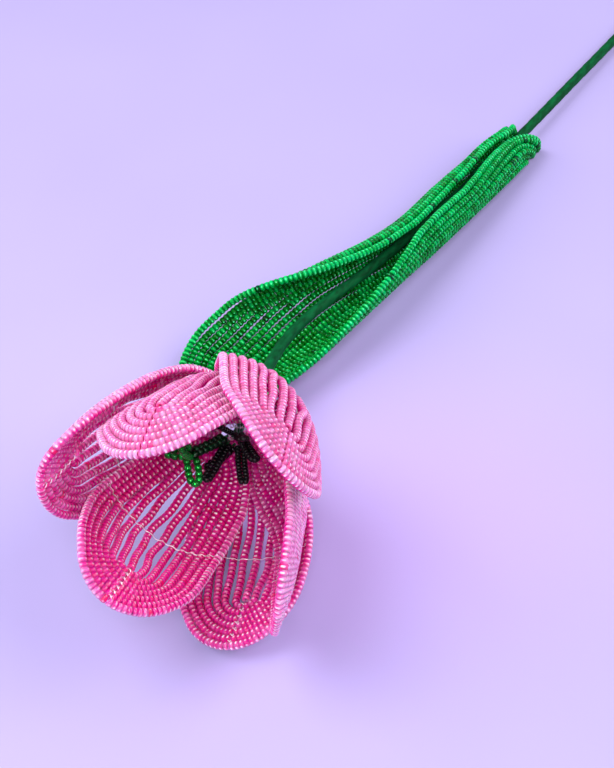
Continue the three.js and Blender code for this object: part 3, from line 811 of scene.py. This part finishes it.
def placeOnPetal(petal):
    # returns the function that puts points of the flat pattern in space
    length = petalPattern["length"]
    walk = np.linspace(0, length, spineSteps + 1)
    step = walk[1]
    slope = np.radians(smoothValue(walk / length, slopeStations, petal["slopes"]))
    outSteps = (np.sin(slope[1:]) + np.sin(slope[:-1])) / 2 * step
    aheadSteps = (np.cos(slope[1:]) + np.cos(slope[:-1])) / 2 * step
    outs = petal["out"] + np.concatenate([[0], np.cumsum(outSteps)])
    aheads = petal["ahead"] + np.concatenate([[0], np.cumsum(aheadSteps)])
    radial = radialAt(petal["turn"])
    tangential = np.cross(forwards, radial)

    def place(along, across):
        share = np.clip(along / length, -beyondEnds, 1 + beyondEnds)
        here = np.radians(smoothValue(share, slopeStations, petal["slopes"]))
        inside = np.clip(along, 0, length)
        out = np.interp(inside, walk, outs) + (along - inside) * np.sin(here)
        ahead = np.interp(inside, walk, aheads) + (along - inside) * np.cos(here)
        curl = np.where(across < 0, smoothValue(share, curlStations, petal["curlLeft"]),
                        smoothValue(share, curlStations, petal["curlRight"]))
        bend = np.radians(curl) / petalPattern["halfWidth"]
        side, up = curled(-bend, across, math.radians(petal["roll"]))
        sway = math.tan(math.radians(petal["lean"])) * share * along / 2
        return (flowerBase
                + (out + np.cos(here) * up)[:, None] * radial
                + (ahead - np.sin(here) * up)[:, None] * forwards
                + (side + sway)[:, None] * tangential)
    return place


for index, (name, petal) in enumerate(petals.items()):
    sheet = {
        **petalPattern,
        "place": placeOnPetal(petal),
        "lacing": petal["lacing"],
        "tones": petal["tones"],
        "seed": petalPattern["seed"] + index,
    }
    makeSheet(name, sheet, petalBead, petalGlass, silverWire)
    print("petal made:", name)


# stem: its middle line has these heights, and bows sideways, at the stations along it from the flower's base

stem = {
    "stations": (0, 40, 90, 150, 220, 290),
    "sideways": (0, 12.1, 10.2, 5.0, 2.2, 0),
    "heights": (29.7, 19.1, 11.2, 7.3, 4.4, 1.6),
    "radius": 1.52,
    "wrapFrom": 6.9,      # where the tape starts
    "length": 290.0,
}

tape = {
    "step": 7.0,          # along the stem from one turn of tape to the next
    "edge": 0.12,         # how far an edge stands up
    "sides": 16,
    "stemRings": 520,
    "bindingRings": 60,
}


def stemPoint(along):
    along = np.atleast_1d(np.asarray(along, float))
    side = smoothValue(along, stem["stations"], stem["sideways"])
    height = smoothValue(along, stem["stations"], stem["heights"]) - stem["heights"][0]
    return flowerBase + np.stack([along, side, height], axis=1)


def taperedTape(name, start, end, radii, rings):
    # tape wound round the stem: a tube whose radius follows radii, with the edge of the tape in it
    points = stemPoint(np.linspace(start, end, rings))
    tube = wirePiece(name, points, 1.0, tape["sides"])      # of radius 1 mm, which is scaled below
    vertices = vertexPoints(tube) / mm
    along = vertices[:, 0] - flowerBase[0]
    middle = stemPoint(along)
    offset = vertices - middle
    share = np.clip((along - start) / (end - start), 0, 1)
    radius = np.interp(share, np.linspace(0, 1, len(radii)), radii)
    angle = np.arctan2(offset[:, 2], offset[:, 1]) / (2 * np.pi)       # in turns
    lapped = tape["edge"] * (1 - (along / tape["step"] + angle) % 1.0)
    setVertexPoints(tube, (middle + offset * (radius + lapped)[:, None]) * mm)
    return tube


stemRadii = (stem["radius"], stem["radius"])
stemTape = taperedTape("stem_tape", stem["wrapFrom"], stem["length"], stemRadii, tape["stemRings"])
keepPiece(stemTape, floralTape, ("stem_wrap",))
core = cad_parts["stem_core"]
core.data.materials.clear()
core.data.materials.append(steelWire)
print("stem made")


# leaf: cupped round the stem, with its far end bound to it
# below, beside: its middle line from the stem; curls and roll as for a petal; all from the far end to the tip

leafPattern = {
    "loops": 9,
    "pitch": 1.8,
    "basicRow": 123.9,
    "baseStretch": 1.0,
    "tipStretch": 1.22,   # the tip is a little pointed
    "edge": 1.1,
    "swell": 4.5,
    "swellStations": (0, 0.15, 0.5, 0.8, 1),
    "swellShares": (0, 0.5, 0.8, 1, 0),
    "halfWidth": 17.2,
    "bunch": 0.45,
    "wander": 0.12,
    "waves": (4, 9, 15),
    "outward": -1,
    "tones": (0.1, 0.85),
    "paintedLightRimTones": (0.5, 1.0),
    "slit": 0.05,         # on the left the rows draw in by this share of their way across, at most
    "slitFrom": 0.5,      # from this share of the length
    "slitTo": 0.95,
    "lacing": 117,
    "farEnd": 177.1,      # from the flower's base to the far end of the leaf
    "seed": 41,
}

spineStep = 0.5           # half of the step that the leaf's direction is measured over

leafShape = {
    "stations": (0, 0.12, 0.3, 0.48, 0.66, 0.84, 1),
    "below": (4.8, 5.6, 5.1, 4.1, 6.3, 17.4, 23.5),
    "beside": (-0.8, -2.2, -1.5, -2.6, 3.4, 10.6, 22.2),
    "curlLeft": (174, 142, 152, 159, 118, 57, 48),
    "curlRight": (224, 179, 128, 120, 88, 51, 57),
    "roll": (-18, 0, 0, 0, -22, 0, 7),
}


def leafSpread(row):
    return leafPattern["swell"] * row / leafPattern["loops"]


def leafSwell(along):
    share = np.clip(along / leafPattern["length"], 0, 1)
    return smoothValue(share, leafPattern["swellStations"], leafPattern["swellShares"])


def leafDrawIn(row, side, along):
    # on the left the rows draw away from the outermost one, which leaves a slit
    if side > 0 or row == leafPattern["loops"]:
        return 0.0
    room = leafPattern["slitTo"] - leafPattern["slitFrom"]
    share = np.clip((along / leafPattern["length"] - leafPattern["slitFrom"]) / room, 0, 1)
    return leafPattern["slit"] * np.sin(np.pi * share)


def leafValue(share, name):
    return smoothValue(share, leafShape["stations"], leafShape[name])


def leafSpine(along):
    share = along / leafPattern["length"]
    points = stemPoint(leafPattern["farEnd"] - along)
    points[:, 1] += leafValue(share, "beside")
    points[:, 2] -= leafValue(share, "below")
    return points


def placeOnLeaf(along, across):
    # puts points of the flat pattern of the leaf in space
    share = along / leafPattern["length"]
    direction = unit(leafSpine(along + spineStep) - leafSpine(along - spineStep))
    level = unit(np.cross(np.array([0.0, 0.0, 1.0]), direction))
    upright = np.cross(direction, level)
    curl = np.where(across < 0, leafValue(share, "curlLeft"), leafValue(share, "curlRight"))
    bend = np.radians(curl) / leafPattern["halfWidth"]
    side, up = curled(bend, across, np.radians(leafValue(share, "roll")))
    return leafSpine(along) + side[:, None] * level + up[:, None] * upright


leafPattern["spreadOf"] = leafSpread
leafPattern["swellAt"] = leafSwell
leafPattern["place"] = placeOnLeaf
leafPattern["crowdAt"] = lambda along, baseCrowd: 1 - leafSwell(along)
leafPattern["drawIn"] = leafDrawIn
measureSheet(leafPattern)
makeSheet("leaf", leafPattern, leafBead, leafGlass, greenWire)
print("leaf made")


# stamens and pistil: tight double rows on stalks of twisted wire
# slot: where a stalk stands on the circle; turn, out and ahead: where it ends, in the flower's own axes
# a fork or a tip is written as turn, out and ahead too

stamenShape = {
    "stalkCircle": 1.9,    # the stalks stand on a circle of this radius
    "stalkFrom": 5.8,      # so far ahead of the flower's base
    "beadsFrom": 0.1,      # share of the length that is bare stalk
    "rowSpacing": 1.5,
    "bendAt": 0.45,        # share of the length
    "arch": 0.08,
    "linePoints": 60,
    "capPoints": 7,        # round the tip, from one row to the other
    "capInset": 0.2,       # the middle of that bend is this far short of the end
    "tones": (0.0, 1.0),
    "seed": 61,
}

stalkShape = {
    "wire": 0.2,           # radius of each of the two wires, and of the coil that they make
    "turns": 2.5,
    "points": 40,
    "intoBeads": 2,        # so many points of the line reach into the beads
}

stamens = {
    "stamen_1": {"slot": 231, "turn": 253, "out": 2.8, "ahead": 21},
    "stamen_2": {"slot": 129, "turn": 100, "out": 6.1, "ahead": 19},
    "stamen_3": {"slot": 77, "turn": 72, "out": 7.9, "ahead": 14.5},
    "stamen_4": {"slot": 26, "turn": 30, "out": 9, "ahead": 14},
    "stamen_5": {"slot": 334, "turn": 340, "out": 12, "ahead": 13},
    "stamen_6": {"slot": 180, "turn": 225, "out": 6.6, "ahead": 13.2},
}

pistil = {
    "slot": 283,
    "fork": (287, 8.4, 17),
    "loops": (
        {"tip": (282, 13.7, 18.8), "facing": 340},
        {"tip": (265, 4.7, 24), "facing": 10},
        {"tip": (320, 13, 23), "facing": 60},
    ),
    "loopWidth": 2.6,      # from one side of a loop to the other
    "loopGap": 0.12,       # radians that stay open at the fork, on either side
    "loopPoints": 60,
    # painted light: the stalk's beads take the deep shades as painted shade and the loops the bright ones as
    # if lit, though all are one silver-lined glass
    "shadedStalkTones": (0.05, 0.4),
    "litLoopTones": (0.5, 0.95),
    "seed": 71,
}


def archedLine(start, end):
    # a line that arches towards the mouth of the flower
    arch = forwards * stamenShape["arch"] * np.linalg.norm(end - start)
    bend = start + (end - start) * stamenShape["bendAt"] + arch
    t = np.linspace(0, 1, stamenShape["linePoints"])[:, None]
    return (1 - t) ** 2 * start + 2 * t * (1 - t) * bend + t ** 2 * end


def hairpin(line, across, spacing, rounded):
    # up one row and down the other, with a bend round the tip where it is rounded
    direction = unit(np.gradient(line, axis=0))
    side = unit(across - (direction @ across)[:, None] * direction)
    first = int(len(line) * stamenShape["beadsFrom"])
    left = line[first:] - side[first:] * spacing / 2
    right = line[first:] + side[first:] * spacing / 2
    facing = np.cross(direction, side)[first:]
    if not rounded:
        return np.concatenate([left, right[::-1]]), np.concatenate([facing, facing[::-1]])
    angle = np.linspace(0, np.pi, stamenShape["capPoints"] + 2)[1:-1, None]
    back = line[-1] - direction[-1] * stamenShape["capInset"]
    cap = back + spacing / 2 * (np.sin(angle) * direction[-1] - np.cos(angle) * side[-1])
    points = np.concatenate([left[:-2], cap, right[-3::-1]])
    return points, np.repeat(facing[-1:], len(points), axis=0)


def twistedStalk(line, name):
    # two wires wound round each other, from the foot of the line up to its beads
    count = int(len(line) * stamenShape["beadsFrom"]) + stalkShape["intoBeads"]
    centre = alongLine(np.linspace(0, count - 1, stalkShape["points"]), np.arange(count), line[:count])
    normal = np.repeat(unit(np.cross(forwards, radialAt(0)))[None], len(centre), axis=0)
    wires = []
    for start in (0.0, 0.5):
        coil = coilRound(centre, normal, stalkShape["turns"], stalkShape["wire"], start)
        wires.append(wirePiece("stalk", coil, stalkShape["wire"]))
    keepPiece(joinPieces(wires, name), greenWire)


def acrossOf(start, end):
    return unit(np.cross(end - start, upwards))


def stalkStart(slot):
    return flowerPoint(slot, stamenShape["stalkCircle"], stamenShape["stalkFrom"])


def makeStamens():
    template = modelBead(stamenBead)
    dice = np.random.default_rng(stamenShape["seed"])
    for name, stamen in stamens.items():
        start = stalkStart(stamen["slot"])
        end = flowerPoint(stamen["turn"], stamen["out"], stamen["ahead"])
        line = archedLine(start, end)
        points, normals = hairpin(line, acrossOf(start, end), stamenShape["rowSpacing"], True)
        beads = beadStrand(template, stamenBead, points, normals, dice, stamenShape["tones"])
        beads.name = name + "_beads"
        keepPiece(beads, blackGlass, (name,))
        twistedStalk(line, name + "_stalk")
    bpy.data.objects.remove(template, do_unlink=True)


def makePistil():
    template = modelBead(pistilBead)
    dice = np.random.default_rng(pistil["seed"])
    start = stalkStart(pistil["slot"])
    fork = flowerPoint(*pistil["fork"])
    line = archedLine(start, fork)
    points, normals = hairpin(line, acrossOf(start, fork), stamenShape["rowSpacing"], False)
    half = len(points) // 2
    strands = []
    for row in (slice(0, half), slice(half, None)):
        strand = beadStrand(template, pistilBead, points[row], normals[row], dice, pistil["shadedStalkTones"])
        strands.append(strand)
    for loop in pistil["loops"]:
        reach = flowerPoint(*loop["tip"]) - fork
        wide = unit(np.cross(reach, radialAt(loop["facing"])))
        angle = np.linspace(pistil["loopGap"], 2 * np.pi - pistil["loopGap"], pistil["loopPoints"])
        swing = np.sign(np.sin(angle)) * np.sqrt(np.abs(np.sin(angle))) * pistil["loopWidth"] / 2
        points = fork + np.outer((1 - np.cos(angle)) / 2, reach) + np.outer(swing, wide)
        normals = np.repeat(unit(np.cross(reach, wide))[None], len(points), axis=0)
        strands.append(beadStrand(template, pistilBead, points, normals, dice, pistil["litLoopTones"]))
    bpy.data.objects.remove(template, do_unlink=True)
    beads = joinPieces(strands, "pistil_beads")
    keepPiece(beads, pistilGlass, ("pistil",))
    twistedStalk(line, "pistil_stalk")


makeStamens()
makePistil()
print("stamens and pistil made")


# bindings: bundles of wire under turns of tape
# tapes: from and to, along the stem, and the radii between; a way along the stem is from the flower's base

bindingTapes = {
    "flower_binding": {"from": 4.6, "to": 17.0, "radii": (1.6, 2.5, 2.6, 2.6, 2.5, 1.75)},
    "leaf_binding": {"from": 142.0, "to": 156.0, "radii": (1.75, 2.5, 2.6, 2.6, 2.5, 1.9)},
}

neck = {
    "front": 5.2,          # the bundle reaches this far into the flower
    "wires": 7,
    "wire": 0.3,           # radius of each wire
    "coil": 0.95,          # and of the bundle, to the middle of a wire
    "turns": 0.8,
    "stemEnds": (5.4, 7.5),   # its last two points, along the stem
    "points": 40,
    "sides": 6,
}

leafStalk = {              # the pair of wires between the leaf's far end and the stem
    "wire": 0.2,
    "turns": 7,
    "points": 70,
    "sides": 6,
    "way": (               # along the stem, and from its middle to the side and up
        (155, 0, -2.4),
        (166, -0.1, -2.4),
        (176, -0.5, -2.3),
        (178, -0.6, -2.5),
        (179.2, -0.3, -4.2),
    ),
}


def makeBindingTapes():
    for name, each in bindingTapes.items():
        tube = taperedTape(name + "_tape", each["from"], each["to"], each["radii"], tape["bindingRings"])
        keepPiece(tube, floralTape, (name,))


def makeNeck():
    # the wires of all the petals and stalks run from between the petals on to the stem
    ends = np.vstack([flowerPoint(0, 0, neck["front"]), flowerBase, stemPoint(neck["stemEnds"])])
    places = np.arange(len(ends))
    centre = alongLine(np.linspace(0, places[-1], neck["points"]), places, ends)
    normal = np.repeat(upwards[None], len(centre), axis=0)
    wires = []
    for index in range(neck["wires"]):
        line = coilRound(centre, normal, neck["turns"], neck["coil"], index / neck["wires"])
        wires.append(wirePiece("neckWire", line, neck["wire"], neck["sides"]))
    keepPiece(joinPieces(wires, "neck_wires"), greenWire)


def makeLeafStalk():
    route = np.array([stemPoint(along)[0] + (0, side, up) for along, side, up in leafStalk["way"]])
    places = np.arange(len(route))
    fine = np.linspace(0, places[-1], leafStalk["points"])
    centre = np.stack([smoothValue(fine, places, route[:, i]) for i in range(3)], axis=1)
    normal = np.repeat(np.array([[0.0, 0.0, 1.0]]), len(centre), axis=0)
    wires = []
    for start in (0.0, 0.5):
        coil = coilRound(centre, normal, leafStalk["turns"], leafStalk["wire"], start)
        wires.append(wirePiece("leafWire", coil, leafStalk["wire"], leafStalk["sides"]))
    keepPiece(joinPieces(wires, "leaf_stalk_wires"), greenWire)


makeBindingTapes()
makeNeck()
makeLeafStalk()
print("bindings made")


# floor, light and camera

view = {
    "position": (-302.85, -137.56, 298.63),
    "direction": (0.57514, 0.35888, -0.73513),
    "up": (0.62368, 0.38916, 0.67792),
    "lens": 82.6,
    "sensor": 36,
    "nearest": 0.01,       # in metres
}

floorCloth = {
    "size": 6,             # in metres
    "shades": ((0.3, (0.32, 0.28, 0.54)), (0.7, (0.34, 0.30, 0.56))),
    "cloudScale": 9,
    "roughness": 0.85,
}

light = {                  # places and sizes are in metres
    "target": (-0.10, 0.0, 0.02),
    "lamps": {
        "window": {"position": (-0.46, 0.34, 1.10), "size": 0.7, "power": 11.0, "color": (1.0, 0.98, 1.0)},
        "left": {"position": (-0.60, 0.85, 0.62), "size": 1.0, "power": 8.0, "color": (1.0, 0.99, 1.0)},
        "front": {"position": (-0.68, -0.40, 0.90), "size": 0.42, "power": 8.0, "color": (1.0, 0.96, 1.0)},
        "right": {"position": (0.30, -0.80, 0.95), "size": 1.1, "power": 14.0, "color": (1.0, 0.96, 1.0)},
    },
    "petalGlow": {         # what the glass petals pass on to the floor beside them
        "position": (0.12, -0.38, 0.40),
        "target": (-0.10, -0.030, 0.0),
        "angle": 13.0,
        "size": 0.03,
        "power": 5.0,
        "color": (1.0, 0.06, 0.65),
    },
    "room": (0.97, 0.94, 1.0),
    "roomStrength": 0.25,
}


def makeFloor():
    deselectAll()
    bpy.ops.mesh.primitive_plane_add(size=floorCloth["size"], location=(0, 0, 0))
    floor = bpy.context.active_object
    floor.name = "floor"
    shades = floorCloth["shades"]
    material, nodes, links, shader = newMaterial("pale_floor", shades[0][1], floorCloth["roughness"])
    clouds = noiseValue(nodes, links, floorCloth["cloudScale"])
    links.new(rampNode(nodes, links, clouds, shades), shader.inputs["Base Color"])
    floor.data.materials.append(material)


def addLamp(name, kind, settings, target):
    lamp = bpy.data.lights.new(name, kind)
    lamp.energy = settings["power"]
    lamp.color = settings["color"]
    piece = bpy.data.objects.new(name, lamp)
    bpy.context.collection.objects.link(piece)
    piece.location = settings["position"]
    aim = Vector(target) - Vector(settings["position"])
    piece.rotation_euler = aim.to_track_quat("-Z", "Y").to_euler()
    return lamp


def makeLamps():
    for name, settings in light["lamps"].items():
        lamp = addLamp(name, "AREA", settings, light["target"])
        lamp.shape = "DISK"
        lamp.size = settings["size"]
    glow = light["petalGlow"]
    lamp = addLamp("petalGlow", "SPOT", glow, glow["target"])
    lamp.spot_size = math.radians(glow["angle"])
    lamp.spot_blend = 1.0
    lamp.shadow_soft_size = glow["size"]


def makeRoom():
    room = bpy.data.worlds.new("room")
    room.use_nodes = True
    background = room.node_tree.nodes["Background"]
    background.inputs["Color"].default_value = (*light["room"], 1)
    background.inputs["Strength"].default_value = light["roomStrength"]
    bpy.context.scene.world = room
    bpy.context.scene.view_settings.view_transform = "Standard"


def makeCamera():
    lens = bpy.data.cameras.new("camera")
    lens.sensor_fit = "HORIZONTAL"
    lens.sensor_width = view["sensor"]
    lens.lens = view["lens"]
    lens.clip_start = view["nearest"]
    camera = bpy.data.objects.new("camera", lens)
    bpy.context.collection.objects.link(camera)
    camera.location = [value * mm for value in view["position"]]
    back = -Vector(view["direction"]).normalized()
    right = Vector(view["up"]).cross(back).normalized()
    camera.rotation_euler = Matrix((right, back.cross(right), back)).transposed().to_euler()
    bpy.context.scene.camera = camera


makeFloor()
makeLamps()
makeRoom()
makeCamera()
print("floor, light and camera made")
